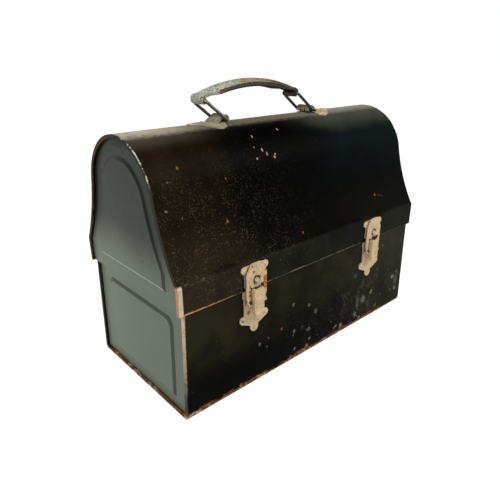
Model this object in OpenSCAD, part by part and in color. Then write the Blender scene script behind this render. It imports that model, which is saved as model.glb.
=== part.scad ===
// Dome-top lunch box in painted sheet steel: a seamed box, a domed lid that
// telescopes over it, two draw latches, a folding carrying handle on two wire
// links, and a wire bail inside the lid that holds a bottle in the dome.
// X runs along the length, the latches are on the -Y side, Z is up, and the
// origin is in the middle of the underside of the box.

/* [Box] */
// Length of the box at its foot, over the end rims
body_len = 253.2; // [220:0.2:300]
// Depth of the box, front face to back face
body_depth = 118.6; // [100:0.2:150]
// Height of the walls above the seam, hidden inside the lid
tuck_h = 5.7; // [4.5:0.1:9]
// How far each end leans in between foot and seam
end_lean = 2.2; // [1:0.1:4]
// Outer radius of the bends along the foot
foot_r = 2.6; // [1.2:0.1:6]
// Sheet steel of box and lid
sheet = 0.8; // [0.5:0.05:1.1]
// Air between folded layers
fold_gap = 0.05; // [0.02:0.01:0.15]
// Depth of the end panels behind the rims
rim_depth = 2; // [1.7:0.1:3.5]
// Height of the folded edge round the mouth
mouth_fold = 4; // [2:0.5:5]

/* [Lid] */
// Length of the lid over its rims
lid_len = 256; // [223:0.2:304]
// Air between the front of the box and the skirt
lid_gap = 0.25; // [0.15:0.05:0.6]
// Height of the seam, where the lid's edge lies
seam_z = 80.3; // [60:0.1:120]
// Height of the upright skirt
skirt_h = 18.5; // [17:0.1:30]
// Height of the lid from the seam to the top of the dome
lid_h = 102; // [96:0.5:125]
// Outer radius of the dome
dome_r = 41.5; // [36:0.5:46]
// Radius of the hollow flare between dome and skirt
flare_r = 156; // [120:1:220]

/* [Pressed fields] */
// Height that the fields stand out of the end panels
field_h = 1.1; // [0.6:0.1:1.1]
// Width of the sloped border
field_slope = 3; // [1.5:0.1:5]
// Plain margin round the field of the lid
lid_margin = 12.5; // [8:0.5:20]
// Margin under the field of the lid
lid_margin_low = 9.7; // [5:0.1:15]
// Plain margin at the sides of the field of the box
box_margin = 14.8; // [8:0.1:24]
// Margin above the field of the box, under the seam
box_margin_top = 8.8; // [5:0.1:20]
// Margin under the field of the box
box_margin_low = 8; // [4:0.5:20]

/* [Latches] */
// Distance of each latch from its end of the box
latch_in = 59.6; // [38:0.2:80]
// Plate thickness of the latch parts
latch_t = 1; // [0.7:0.05:1.3]
// Half width of the base plate at its neck
neck_w = 9.2; // [8.5:0.1:12]
// Half width over the side lobes
lobe_w = 13.1; // [12:0.1:15]
// Height of the base plate below the seam
plate_h = 34.4; // [32:0.1:38]
// Height of the lever pivot below the seam
lever_drop = 0.6; // [0.3:0.1:1.2]
// Length of the ears down the base plate
ear_h = 8; // [5:0.5:9]
// Distance of the lever pivot in front of the box
lever_out = 4.2; // [4:0.1:5]
// Distance between the two pivots of the lever
lever_arm = 9.5; // [8.5:0.1:11]
// Length of the lever below its loop pivot
lever_tail = 8.3; // [6:0.1:8.6]
// Flare of the lever at its free end
lever_lip = 0.5; // [0:0.1:1.2]
// Half width of the lever
lever_w = 4.3; // [3.9:0.1:4.8]
// Distance of the lever face in front of its pivot
lever_front = 2.3; // [2.2:0.1:2.4]
// Height of the lever face above its pivot
lever_top = 1.5; // [1:0.1:1.7]
// Radius of the latch pins
latch_pin_r = 0.8; // [0.6:0.05:0.9]
// Running clearance on every pin
pin_gap = 0.06; // [0.04:0.01:0.09]
// Distance of each rivet of the strike plate from its middle
strike_rivet_x = 9.4; // [9:0.1:10.5]
// Half width of the loop plate
loop_w = 9.1; // [8.6:0.1:11]
// Half width of the loop at its pivot
loop_foot = 8.2; // [7.6:0.1:8.6]
// Half width of the window in the loop
window_w = 5.8; // [5.4:0.1:6.4]
// Height of the loop above its pivot
loop_h = 29.6; // [27:0.1:33]
// Height of the stud above the seam
stud_z = 6.2; // [5.5:0.1:8]
// Radius of the stud
stud_r = 2.3; // [1.6:0.1:2.6]
// Room round the stud in the loop
stud_room = 1; // [0.4:0.1:1.3]

/* [Hinges] */
// Distance of each hinge from its end of the box
hinge_in = 54.6; // [34:0.2:80]
// Width of a hinge
hinge_w = 38; // [24:1:60]
// Thickness of the hinge leaves
leaf_t = 0.9; // [0.6:0.1:1.2]
// Radius of the hinge pins
hinge_pin_r = 1; // [0.8:0.1:1.2]
// Length of a leaf from the pin
leaf_h = 16; // [12:0.5:17]

/* [Handle] */
// Distance of each bracket pivot from the middle
link_x = 45; // [35:0.5:60]
// Length of a link between its two bars
link_len = 22.8; // [17:0.2:26]
// Lean of the links from upright as the handle rests
link_lean = 52.5; // [40:0.5:55]
// Distance between the arms of a link
link_span = 17; // [16:0.5:22]
// Height of the lower bars above the lid
link_up = 1.8; // [1.6:0.1:2.6]
// Radius of the link wire
wire_r = 1.2; // [1:0.1:1.4]
// Thickness of the bracket sheet
bracket_t = 1.3; // [1:0.1:1.4]
// Radius of the bracket tongue round the lower bar
tongue_r = 3.4; // [3.3:0.1:4]
// Rise of the grip from its ends to its middle
grip_rise = 8; // [6:0.2:12]
// Width of the grip
grip_w = 16; // [15:0.5:22]
// Crown of the grip across its width
grip_crown = 3.3; // [2.4:0.1:4.5]
// Height of the rolled edges of the grip
grip_edge = 2.8; // [2.2:0.1:3.6]
// Sheet of the grip
grip_t = 1.1; // [0.8:0.1:1.3]
// Radius of the nose at each end of the grip
eye_r = 3.7; // [3.5:0.1:4.2]
// Set-back of the nose from the upper bar
nose_in = 0.9; // [0.6:0.1:1.2]

/* [Bottle bail] */
// From each end of the box to the nearer arm of the bail
bail_in = 84.6; // [47:0.2:101]
// Radius of the bail wire
bail_r = 1.2; // [0.9:0.1:1.5]
// Width of each bail bracket
bail_foot_w = 10; // [7:0.5:14]
// Height of each bail bracket below its pivot
bail_foot_h = 8; // [6:0.5:12]
// Sheet of the bail brackets and the clip
bail_t = 0.8; // [0.6:0.05:1]
// Width of the clip
clip_w = 14; // [10:0.5:20]
// Height of the bail pivot above the seam
bail_z = 15.6; // [14.6:0.1:16]

/* [Hidden] */
$fn = 96;
big = 400;
fine = 360;

// box
body_h = seam_z + tuck_h;
by = body_depth / 2;
lean = atan(end_lean / seam_z);
stack = 3 * sheet + 2 * fold_gap;
panel_in = rim_depth + sheet;
fold_in = panel_in + fold_gap + sheet;

// lid
lid_depth = body_depth + 2 * (lid_gap + sheet);
ly = lid_depth / 2;
lx = lid_len / 2;
bend_z = seam_z + skirt_h;
dome_z = seam_z + lid_h - dome_r;
top_z = seam_z + lid_h;
reach = dome_r + flare_r;
bd = norm([ly, bend_z - dome_z]);
ba = (flare_r * flare_r - reach * reach + bd * bd) / (2 * bd);
bh = sqrt(flare_r * flare_r - ba * ba);
flare_y = ly - ba * ly / bd + bh * (dome_z - bend_z) / bd;
flare_z = bend_z + ba * (dome_z - bend_z) / bd + bh * ly / bd;
function join_z(d) = dome_z + (dome_r - d) * (flare_z - dome_z) / reach;

// latch
latch_x = body_len / 2 - latch_in;
plate_y = -by;
plate_face = -by - latch_t;
strike_y = -ly;
strike_face = -ly - latch_t * 0.8;
lever_y = -by - lever_out;
lever_z = seam_z - lever_drop;
loop_gap = 0.75;
loop_back = strike_face - loop_gap;
loop_face = loop_back - latch_t;
loop_y = (loop_back + loop_face) / 2;
loop_z = lever_z - lever_arm;
lever_end = 1.9;
lever_face = lever_y - lever_front;
lever_wall = 0.8;
ear_r = lever_front - lever_wall - 0.1;
ear_out = lever_w - lever_wall - 0.3;
ear_in = ear_out - latch_t;
hole_r = stud_r + stud_room;
hole_z = seam_z + stud_z + stud_room * 0.6;
web_z = lever_z + lever_end + 0.4;
loop_eye = latch_pin_r + pin_gap + 0.8;

// hinge
hinge_x = body_len / 2 - hinge_in;
knuckle_r = hinge_pin_r + pin_gap + leaf_t;
hinge_y = ly + knuckle_r + 0.19;
hinge_z = seam_z;
finger = hinge_w / 3;
finger_gap = 0.3;

// handle
pivot_r = wire_r + pin_gap;
link_z = top_z + link_up;
tongue_z = top_z + tongue_r - 1.1;
tongue_end = 204;
top_dx = -link_len * sin(link_lean);
grip_z = link_z + link_len * cos(link_lean);
grip_x = top_dx;
arch_r = (link_x * link_x + grip_rise * grip_rise) / (2 * grip_rise);
roll_r = pivot_r + grip_t;
nose_x = link_x - nose_in;
nose_z = grip_z - roll_r + eye_r;
arch_top = nose_z + eye_r + grip_rise;
roll_x = link_x - 9;
arch_z = arch_top - arch_r;
tongue_w = link_span - 2 * wire_r - 1.2;
crown_r = (grip_w * grip_w / 4 + grip_crown * grip_crown) / (2 * grip_crown);

// bail
bail_x = body_len / 2 - bail_in;
bail_pz = seam_z + bail_z;
bail_eye = bail_r + pin_gap + 0.8;
bail_py = ly - sheet - bail_t - bail_eye + 0.25;
bail_front = -(ly - sheet - 4.6);

black = [0.13, 0.13, 0.13];
nickel = [0.78, 0.74, 0.66];
dull = [0.45, 0.44, 0.40];

// ---------- sections across the box and the lid, in Y and Z ----------

// Outline of the lid, inset by d and open for a length below the seam
module lid_section(d, below = 0) {
  intersection() {
    translate([0, dome_z]) circle(dome_r - d, $fn = 192);
    translate([-ly, join_z(d) - 1]) square([2 * ly, big]);
  }
  difference() {
    translate([d - ly, seam_z - below]) square([2 * (ly - d), join_z(d) - seam_z + below]);
    for (s = [-1, 1]) translate([s * flare_y, flare_z]) circle(flare_r + d, $fn = fine);
  }
}

module lid_prism(d, a, b, below = 0) {
  translate([a, 0, 0]) rotate([90, 0, 90]) linear_extrude(b - a) lid_section(d, below);
}

// Layer of the lid between two insets
module lid_layer(d1, d2, a, b) {
  difference() {
    lid_prism(d1, a, b);
    lid_prism(d2, a - 1, b + 1, 1);
  }
}

// Outline of the box, inset by d, open at the top
module box_section(d, above = 0) {
  w = by - d;
  r = max(foot_r - d, 0.3);
  translate([-w, d + r]) square([2 * w, body_h + above - d - r]);
  translate([r - w, d]) square([2 * (w - r), r + 0.01]);
  for (s = [-1, 1]) translate([s * (w - r), d + r]) circle(r);
}

// Block inside inset d, cut by both leaning ends at a depth behind the rims
module box_block(d, depth, above = 0) {
  foot = body_len / 2 - depth / cos(lean);
  t = tan(lean);
  intersection() {
    rotate([90, 0, 90]) linear_extrude(body_len + 40, center = true) box_section(d, above);
    rotate([90, 0, 0]) linear_extrude(big, center = true) polygon([
      [-foot - 5 * t, -5], [foot + 5 * t, -5],
      [foot - (body_h + 5) * t, body_h + 5], [-foot + (body_h + 5) * t, body_h + 5]]);
  }
}

// Layer of the box between two insets, in a slab behind the right rim
module box_layer(d1, d2, a, b) {
  intersection() {
    difference() {
      rotate([90, 0, 90]) linear_extrude(body_len) box_section(d1);
      translate([-1, 0, 0]) rotate([90, 0, 90]) linear_extrude(body_len + 2) box_section(d2, 1);
    }
    end_slab(a, b);
  }
}

module end_slab(a, b) {
  translate([body_len / 2, 0, 0]) rotate([0, -lean, 0])
    translate([-b, -body_depth, -10]) cube([b - a, 2 * body_depth, body_h + 40]);
}

// ---------- rivets ----------

// Rivet along +Z from 0, with a low domed head of radius r above the stack
module rivet(grip, r = 1.9, shank = 1) {
  h = r * 0.42;
  s = (r * r + h * h) / (2 * h);
  rotate_extrude() intersection() {
    translate([0, h - s]) circle(s);
    square([r, h]);
  }
  translate([0, 0, -grip - 0.01]) cylinder(h = grip + 0.02, r = shank);
  translate([0, 0, -grip - 0.6]) cylinder(h = 0.6, r = r * 0.85);
}

module rivet_hole(grip, shank = 1) {
  translate([0, 0, -grip - 1]) cylinder(h = grip + 2, r = shank + 0.03);
}

// Places on the latch plates, in X from the latch and Z
plate_rivets = [[-lobe_w + 2.9, seam_z - 22.7], [lobe_w - 2.9, seam_z - 22.7],
  [0, seam_z - plate_h + 3.6]];
strike_rivets_at = [[-strike_rivet_x, bend_z - 3.2], [strike_rivet_x, bend_z - 3.2]];

module on_front(x, y, z) { translate([x, y, z]) rotate([90, 0, 0]) children(); }
module on_back(x, y, z) { translate([x, y, z]) rotate([-90, 0, 0]) children(); }

module plate_rivets_of(x, holes = false) {
  for (p = plate_rivets) on_front(x + p[0], plate_face, p[1])
    if (holes) rivet_hole(latch_t + sheet); else rivet(latch_t + sheet, 1.7);
}
module strike_rivets_of(x, holes = false) {
  for (p = strike_rivets_at) on_front(x + p[0], strike_face, p[1])
    if (holes) rivet_hole(latch_t * 0.8 + sheet, 0.8); else rivet(latch_t * 0.8 + sheet, 1.4, 0.8);
}
module box_leaf_rivets_of(x, holes = false) {
  for (s = [-1, 1]) on_back(x + s * hinge_w * 0.36, by + leaf_t, hinge_z - leaf_h * 0.64)
    if (holes) rivet_hole(leaf_t + sheet); else rivet(leaf_t + sheet);
}
module lid_leaf_rivets_of(x, holes = false) {
  for (s = [-1, 1]) on_back(x + s * hinge_w * 0.36, ly + leaf_t, hinge_z + leaf_h * 0.64)
    if (holes) rivet_hole(leaf_t + sheet); else rivet(leaf_t + sheet);
}
// Bracket rivets stand square to the dome at an angle round it
module bracket_rivets_of(holes = false) {
  for (p = [[link_x + 20.5, 0], [link_x + 9.5, 13.6], [link_x + 9.5, -13.6]])
    translate([p[0], 0, dome_z]) rotate([p[1], 0, 0]) translate([0, 0, dome_r + leaf_t])
      if (holes) rivet_hole(leaf_t + sheet, 0.9); else rivet(leaf_t + sheet + 0.04, 1.6, 0.9);
}

// ---------- box ----------

// Front, floor and back in one sheet, folded round the flanges of the ends
module box_wrapper() {
  color(black) difference() {
    union() {
      difference() {
        box_block(0, 0);
        box_block(sheet, sheet, 1);
        box_block(stack, -2, 1);
      }
      for (m = [0, 1]) mirror([m, 0, 0])
        box_layer(2 * (sheet + fold_gap), stack, sheet - 0.1, rim_depth - fold_gap);
      mouth_folds();
    }
    for (s = [-1, 1]) {
      plate_rivets_of(s * latch_x, true);
      box_leaf_rivets_of(s * hinge_x, true);
    }
  }
}

// The long edges of the mouth are folded inwards
module mouth_folds() {
  l = 2 * (body_len / 2 - end_lean * body_h / seam_z - fold_in - 1);
  for (s = [0, 1]) mirror([0, s, 0]) {
    translate([-l / 2, by - 2 * sheet - fold_gap, body_h - mouth_fold]) cube([l, sheet, mouth_fold]);
    translate([-l / 2, by - 2 * sheet - fold_gap, body_h - sheet])
      cube([l, 2 * sheet + fold_gap, sheet]);
  }
}

// Pressed field of a box end: rounder corners at its top
module box_field(slope) {
  w = by - box_margin - slope;
  z1 = box_margin_low + slope;
  z2 = seam_z - box_margin_top - slope;
  hull() {
    for (s = [-1, 1]) {
      translate([s * (w - 2.5), z1 + 2.5]) circle(2.5, $fn = 24);
      translate([s * (w - 7), z2 - 7]) circle(7, $fn = 48);
    }
  }
}

// A field raised by h, its foot a slope wider all round than its top
module raised(w, z1, z2, h, slope) {
  zc = (z1 + z2) / 2;
  translate([0, zc, 0])
    linear_extrude(h, scale = [(w - slope) / w, (z2 - z1 - 2 * slope) / (z2 - z1)], slices = 1)
      translate([0, -zc]) children();
}

module box_field_solid(h) {
  raised(by - box_margin, box_margin_low, seam_z - box_margin_top, h, field_slope) box_field(0);
}

module box_end() {
  face = body_len / 2 - rim_depth / cos(lean);
  color(black) difference() {
    union() {
      intersection() {
        rotate([90, 0, 90]) linear_extrude(body_len) box_section(sheet + fold_gap);
        end_slab(rim_depth, panel_in);
      }
      box_layer(sheet + fold_gap, 2 * sheet + fold_gap, sheet + fold_gap, rim_depth + 0.1);
      intersection() {
        translate([0, -by + stack + 0.1, body_h - mouth_fold])
          cube([body_len, body_depth - 2 * stack - 0.2, mouth_fold]);
        end_slab(panel_in + fold_gap, fold_in);
      }
      intersection() {
        translate([0, -by + stack + 0.1, body_h - sheet])
          cube([body_len, body_depth - 2 * stack - 0.2, sheet]);
        end_slab(panel_in - 0.1, fold_in);
      }
      translate([face, 0, 0]) rotate([0, -lean, 0]) rotate([90, 0, 90])
        translate([0, 0, -0.2]) box_field_solid(field_h + 0.2);
    }
    translate([face, 0, 0]) rotate([0, -lean, 0]) rotate([90, 0, 90])
      translate([0, 0, -sheet - 0.2]) box_field_solid(field_h + 0.2);
  }
}
module box_end_right() { box_end(); }
module box_end_left() { mirror([1, 0, 0]) box_end(); }

// ---------- lid ----------

// One sheet over the dome, both flares and both skirts, hemmed round the ends
module lid_wrapper() {
  color(black) difference() {
    union() {
      difference() {
        lid_prism(0, -lx, lx);
        lid_prism(sheet, sheet - lx, lx - sheet, 1);
        lid_prism(stack, -lx - 1, lx + 1, 1);
      }
      for (m = [0, 1]) mirror([m, 0, 0])
        lid_layer(2 * (sheet + fold_gap), stack, lx - rim_depth + fold_gap, lx - sheet + 0.1);
    }
    for (s = [-1, 1]) {
      strike_rivets_of(s * latch_x, true);
      lid_leaf_rivets_of(s * hinge_x, true);
    }
    for (m = [0, 1]) mirror([m, 0, 0]) bracket_rivets_of(true);
  }
}

lid_field_w = ly - lid_margin - 3.4;
lid_field_z1 = seam_z + lid_margin_low;
lid_field_z2 = top_z - lid_margin;
field_join = atan2(flare_z - dome_z, flare_y);
field_edge = acos((flare_y - lid_field_w) / (flare_r + lid_margin));
field_half = [[lid_field_w, lid_field_z1],
  for (i = [0:8]) let (t = 180 + field_edge + (field_join - field_edge) * i / 8)
    [flare_y + (flare_r + lid_margin) * cos(t), flare_z + (flare_r + lid_margin) * sin(t)],
  for (i = [1:15]) let (t = field_join + (90 - field_join) * i / 16)
    [(dome_r - lid_margin) * cos(t), dome_z + (dome_r - lid_margin) * sin(t)]];
module lid_field() {
  n = len(field_half);
  polygon(concat(field_half, [[0, lid_field_z2]],
    [for (i = [1:n]) [-field_half[n - i][0], field_half[n - i][1]]]));
}
module lid_field_solid(h) {
  raised(lid_field_w, lid_field_z1, lid_field_z2, h, field_slope) lid_field();
}

module lid_end() {
  x = lx - rim_depth;
  color(black) difference() {
    lid_prism(sheet + fold_gap, x - sheet, lx - sheet - fold_gap);
    difference() {
      lid_prism(2 * sheet + fold_gap, x, lx, 1);
      translate([x - 0.2, 0, 0]) rotate([90, 0, 90]) lid_field_solid(field_h + 0.2);
    }
    translate([x - sheet - 0.2, 0, 0]) rotate([90, 0, 90]) lid_field_solid(field_h + 0.2);
  }
}
module lid_end_right() { lid_end(); }
module lid_end_left() { mirror([1, 0, 0]) lid_end(); }

// ---------- latches ----------

// Flat plate drawn in X and Z, with its back at y and its face towards -Y
module front_plate(x, y, t) {
  translate([x, y, 0]) rotate([90, 0, 0]) linear_extrude(t) children();
}

// Base plate with a neck and three riveted lobes, and two ears for the lever
module plate_outline() {
  z1 = seam_z - 0.7;
  zl = seam_z - 22.7;
  zb = seam_z - plate_h + 3.6;
  polygon([[-neck_w, z1], [neck_w, z1], [neck_w, zl + 3.2], [lobe_w - 2, zl + 2.4],
    [lobe_w - 2, zl - 2.6], [7.6, zl - 4.4], [3.6, zl - 6.2], [3.4, zb],
    [-3.4, zb], [-3.6, zl - 6.2], [-7.6, zl - 4.4], [2 - lobe_w, zl - 2.6],
    [2 - lobe_w, zl + 2.4], [-neck_w, zl + 3.2]]);
  for (s = [-1, 1]) {
    translate([s * (lobe_w - 3), zl]) circle(3);
    translate([s * (neck_w - 0.3), z1 - 2.7]) square([2.4, 5.4], center = true);
  }
  translate([0, zb]) circle(3.6);
}
module latch_plate(x) {
  color(nickel) difference() {
    union() {
      front_plate(x, plate_y, latch_t) plate_outline();
      for (s = [0, 1]) translate([x, 0, 0]) mirror([s, 0, 0]) difference() {
        translate([ear_in, 0, 0]) rotate([90, 0, 90]) linear_extrude(latch_t) {
          translate([lever_y, lever_z]) circle(ear_r);
          // arm, cut back where the top of the lever face turns behind the pivot
          polygon([[plate_y - 0.5, lever_z - ear_h], [plate_y - 0.5, lever_z - 0.85],
            [lever_y + 2.05, lever_z - 0.85], [lever_y + 0.7, lever_z + ear_r - 0.3],
            [lever_y - 0.9, lever_z - 1], [plate_face, lever_z - ear_h]]);
        }
        along_x(ear_in - 1, ear_out + 1, lever_y, lever_z, latch_pin_r + 0.03);
      }
    }
    plate_rivets_of(x, true);
  }
}
module latch_plate_left() { latch_plate(-latch_x); }
module latch_plate_right() { latch_plate(latch_x); }
module latch_plate_rivets() {
  color(nickel) for (s = [-1, 1]) plate_rivets_of(s * latch_x);
}

module along_x(a, b, y, z, r) {
  translate([a, y, z]) rotate([0, 90, 0]) cylinder(h = b - a, r = r);
}

// Pins that carry the levers, with a thin head at each end
module lever_pins() {
  color(dull) for (s = [-1, 1]) translate([s * latch_x, 0, 0]) {
    along_x(-lever_w - 0.3, lever_w + 0.3, lever_y, lever_z, latch_pin_r);
    for (m = [0, 1]) mirror([m, 0, 0])
      along_x(lever_w + 0.15, lever_w + 0.6, lever_y, lever_z, latch_pin_r + 0.4);
  }
}

// Strike plate on the skirt: two lobes at its top and a round stud for the loop
module strike_plate(x) {
  t = latch_t * 0.8;
  zt = bend_z - 0.5;
  sz = seam_z + stud_z;
  color(nickel) difference() {
    union() {
      front_plate(x, strike_y, t) {
        polygon([[-9.1, seam_z + 2.7], [9.1, seam_z + 2.7], [9.1, zt - 5.5], [11, zt - 4.6],
          [10.6, zt - 0.2], [6, zt], [-6, zt], [-10.6, zt - 0.2], [-11, zt - 4.6], [-9.1, zt - 5.5]]);
        for (s = [-1, 1]) translate([s * strike_rivet_x, zt - 2.7]) circle(2.7);
      }
      on_front(x, strike_face + 0.3, sz) rotate_extrude() {
        square([stud_r, loop_gap + latch_t + 0.3]);
        translate([0, loop_gap + latch_t + 0.3]) intersection() {
          circle(r = stud_r);
          square([stud_r, 0.4]);
        }
      }
    }
    strike_rivets_of(x, true);
  }
}
module strike_plate_left() { strike_plate(-latch_x); }
module strike_plate_right() { strike_plate(latch_x); }
module strike_rivets() { color(nickel) for (s = [-1, 1]) strike_rivets_of(s * latch_x); }

// Lever: a channel that straddles the ears, open at the back, with a turned-out tip
module lever_side() {
  translate([lever_y, lever_z]) circle(lever_end);
  translate([loop_y, loop_z]) circle(1.65);
  polygon([[lever_face, lever_z + lever_top], [lever_face, loop_z - lever_tail + 1.4],
    [lever_face + 1.4, loop_z - lever_tail + 1.4], [loop_y + 0.9, loop_z - 2.2],
    [loop_y + 1.5, loop_z], [lever_y + 1.7, lever_z + 0.5], [lever_y, lever_z + lever_top]]);
}
module latch_lever(x) {
  color(nickel) translate([x, 0, 0]) difference() {
    translate([-lever_w, 0, 0]) rotate([90, 0, 90]) linear_extrude(2 * lever_w) {
      lever_side();
      polygon([[lever_face - lever_lip, loop_z - lever_tail],
        [lever_face + lever_wall - lever_lip, loop_z - lever_tail],
        [lever_face + lever_wall, loop_z - lever_tail + 2], [lever_face, loop_z - lever_tail + 2]]);
    }
    // hollow of the channel
    translate([lever_wall - lever_w, lever_face + lever_wall, loop_z - lever_tail - 2])
      cube([2 * (lever_w - lever_wall), 10, lever_arm + lever_tail + lever_end + 3]);
    // rounded upper corners of the face
    for (m = [0, 1]) mirror([m, 0, 0])
      translate([lever_w - 1, lever_face - 1, lever_z + lever_top - 1]) difference() {
        cube([2, lever_wall + 1, 2]);
        rotate([-90, 0, 0]) cylinder(h = 5, r = 1);
      }
    along_x(-10, 10, lever_y, lever_z, latch_pin_r + pin_gap);
    along_x(-10, 10, loop_y, loop_z, latch_pin_r + 0.03);
  }
}
module latch_lever_left() { latch_lever(-latch_x); }
module latch_lever_right() { latch_lever(latch_x); }

module loop_pin(x) {
  color(dull) translate([x, 0, 0]) {
    along_x(-loop_foot - 0.1, loop_foot + 0.1, loop_y, loop_z, latch_pin_r);
  }
}
module loop_pin_left() { loop_pin(-latch_x); }
module loop_pin_right() { loop_pin(latch_x); }

// Loop: a plate with a round hole for the stud, a window round the lever,
// and two arms whose ends are eyes on the loop pin
module latch_loop(x) {
  zt = loop_z + loop_h;
  color(nickel) difference() {
    union() {
      front_plate(x, loop_back, latch_t) difference() {
        polygon([[-3.6, zt], [3.6, zt], [5.2, zt - 0.8], [7.6, zt - 5.2], [loop_w, zt - 8.6],
          [loop_w, loop_z + 6], [loop_foot, loop_z + 1.8], [loop_foot, loop_z],
          [-loop_foot, loop_z], [-loop_foot, loop_z + 1.8], [-loop_w, loop_z + 6],
          [-loop_w, zt - 8.6], [-7.6, zt - 5.2], [-5.2, zt - 0.8]]);
        translate([0, hole_z]) circle(hole_r);
        polygon([[-window_w, loop_z - 1], [window_w, loop_z - 1], [window_w, web_z + 0.9],
          [3.4, web_z], [-3.4, web_z], [-window_w, web_z + 0.9]]);
      }
      for (s = [0, 1]) translate([x, 0, 0]) mirror([s, 0, 0])
        along_x(window_w, loop_foot, loop_y, loop_z, loop_eye);
    }
    along_x(x - 10, x + 10, loop_y, loop_z, latch_pin_r + pin_gap);
  }
}
module latch_loop_left() { latch_loop(-latch_x); }
module latch_loop_right() { latch_loop(latch_x); }

// ---------- hinges ----------

// Leaf outline in Y and Z that runs from a flat on a wall at y0 to the knuckle
module leaf_side(y0, up) {
  s = up ? 1 : -1;
  polygon([[y0, hinge_z + s * 3.4], [y0, hinge_z + s * leaf_h], [y0 + leaf_t, hinge_z + s * leaf_h],
    [y0 + leaf_t, hinge_z + s * 3.6], [hinge_y + 0.4, hinge_z + s * (knuckle_r - 0.15)],
    [hinge_y - 0.6, hinge_z + s * (knuckle_r - 0.6)]]);
  translate([hinge_y, hinge_z]) circle(knuckle_r);
}
module leaf(x, y0, up, spans) {
  translate([x, 0, 0]) difference() {
    union() {
      for (p = spans) translate([p[0], 0, 0]) rotate([90, 0, 90])
        linear_extrude(p[1] - p[0]) leaf_side(y0, up);
      s = up ? 4.6 : -leaf_h;
      translate([-hinge_w / 2, y0, hinge_z + s]) cube([hinge_w, leaf_t, leaf_h - 4.6]);
    }
    along_x(-hinge_w, hinge_w, hinge_y, hinge_z, hinge_pin_r + (up ? pin_gap : 0.03));
  }
}
module box_leaf(x) {
  color(black) difference() {
    leaf(x, by, false, [[-hinge_w / 2, -finger / 2 - finger_gap / 2],
      [finger / 2 + finger_gap / 2, hinge_w / 2]]);
    box_leaf_rivets_of(x, true);
  }
}
module lid_leaf(x) {
  color(black) difference() {
    leaf(x, ly, true, [[finger_gap / 2 - finger / 2, finger / 2 - finger_gap / 2]]);
    lid_leaf_rivets_of(x, true);
  }
}
module box_hinge_leaf_left() { box_leaf(-hinge_x); }
module box_hinge_leaf_right() { box_leaf(hinge_x); }
module lid_hinge_leaf_left() { lid_leaf(-hinge_x); }
module lid_hinge_leaf_right() { lid_leaf(hinge_x); }
module box_hinge_rivets() { color(black) for (s = [-1, 1]) box_leaf_rivets_of(s * hinge_x); }
module lid_hinge_rivets() { color(black) for (s = [-1, 1]) lid_leaf_rivets_of(s * hinge_x); }
module hinge_pins() {
  color(dull) for (s = [-1, 1])
    along_x(s * hinge_x - hinge_w / 2, s * hinge_x + hinge_w / 2, hinge_y, hinge_z, hinge_pin_r);
}

// ---------- handle ----------

// Bracket: a pointed leaf that follows the dome, and a tongue curled over the
// lower bar of the link
// Side of the tongue: a leg that rises from the leaf and curls over the bar
module tongue_side(cx) {
  foot = 9;
  h = tongue_z - top_z - 0.5;
  a = atan2(h, foot) + asin(tongue_r / norm([foot, h]));
  r = tongue_r - bracket_t;
  function at(r, t) = [cx + r * cos(t), tongue_z + r * sin(t)];
  polygon(concat(
    [[cx + foot, top_z + 0.5]],
    [for (i = [0:9]) at(tongue_r, 90 - a + i * (tongue_end - 90 + a) / 9)],
    [for (i = [0:9]) at(r, tongue_end - i * (tongue_end - 90 + a) / 9)],
    [[cx + foot - bracket_t * sin(a), top_z + 0.5 - bracket_t * cos(a)]]));
}
module bracket() {
  t = leaf_t;
  cx = link_x;
  color(dull) difference() {
    union() {
      intersection() {
        translate([0, 0, dome_z]) linear_extrude(dome_r + 5) {
          polygon([[cx + 1.5, -6.2], [cx + 1.5, 6.2], [cx + 3.5, 12.6], [cx + 9, 14.6], [cx + 15, 12],
            [cx + 21, 5.2], [cx + 26, 3], [cx + 26, -3], [cx + 21, -5.2], [cx + 15, -12],
            [cx + 9, -14.6], [cx + 3.5, -12.6]]);
          translate([cx + 25, 0]) circle(3.2);
        }
        translate([0, 0, dome_z]) rotate([0, 90, 0]) cylinder(h = big, r = dome_r + t, $fn = 192);
      }
      difference() {
        translate([0, tongue_w / 2, 0]) rotate([90, 0, 0]) linear_extrude(tongue_w)
          tongue_side(cx);
        // reliefs in the lip of the tongue
        for (s = [-1, 1]) translate([cx - 2 * tongue_r, s * tongue_w / 6 - 0.55, top_z])
          cube([2 * tongue_r, 1.1, tongue_z - top_z + 0.9]);
      }
    }
    translate([0, 0, dome_z]) rotate([0, 90, 0]) cylinder(h = big, r = dome_r + 0.02, $fn = 192);
    bracket_rivets_of(true);
  }
}
module along_y(x, z, l, r) {
  translate([x, l / 2 + 1, z]) rotate([90, 0, 0]) cylinder(h = l + 2, r = r);
}
module handle_bracket_right() { bracket(); }
module handle_bracket_left() { mirror([1, 0, 0]) bracket(); }
module handle_bracket_rivets() {
  color(dull) for (m = [0, 1]) mirror([m, 0, 0]) bracket_rivets_of();
}

// Link: a closed ring of wire, two arms and two bars
module wire_y(x, z, y1, y2) {
  translate([x, y2, z]) rotate([90, 0, 0]) cylinder(h = y2 - y1, r = wire_r, $fn = 48);
}
module link(x) {
  h = link_span / 2;
  c = 1.6;
  color(dull) translate([x, 0, link_z]) rotate([0, -link_lean, 0]) {
    for (z = [0, link_len]) wire_y(0, z, c - h, h - c);
    for (s = [-1, 1]) translate([0, s * h, c]) cylinder(h = link_len - 2 * c, r = wire_r, $fn = 48);
    for (s = [-1, 1], e = [0, 1])
      translate([0, s * (h - c), e ? link_len - c : c])
        rotate([0, 0, 0]) mirror([0, 0, e ? 0 : 1]) mirror([0, s > 0 ? 0 : 1, 0])
          rotate([90, 0, 90]) rotate_extrude(angle = 90, $fn = 48)
            translate([c, 0]) circle(wire_r, $fn = 48);
  }
}
module handle_link_left() { link(-link_x); }
module handle_link_right() { link(link_x); }

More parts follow.
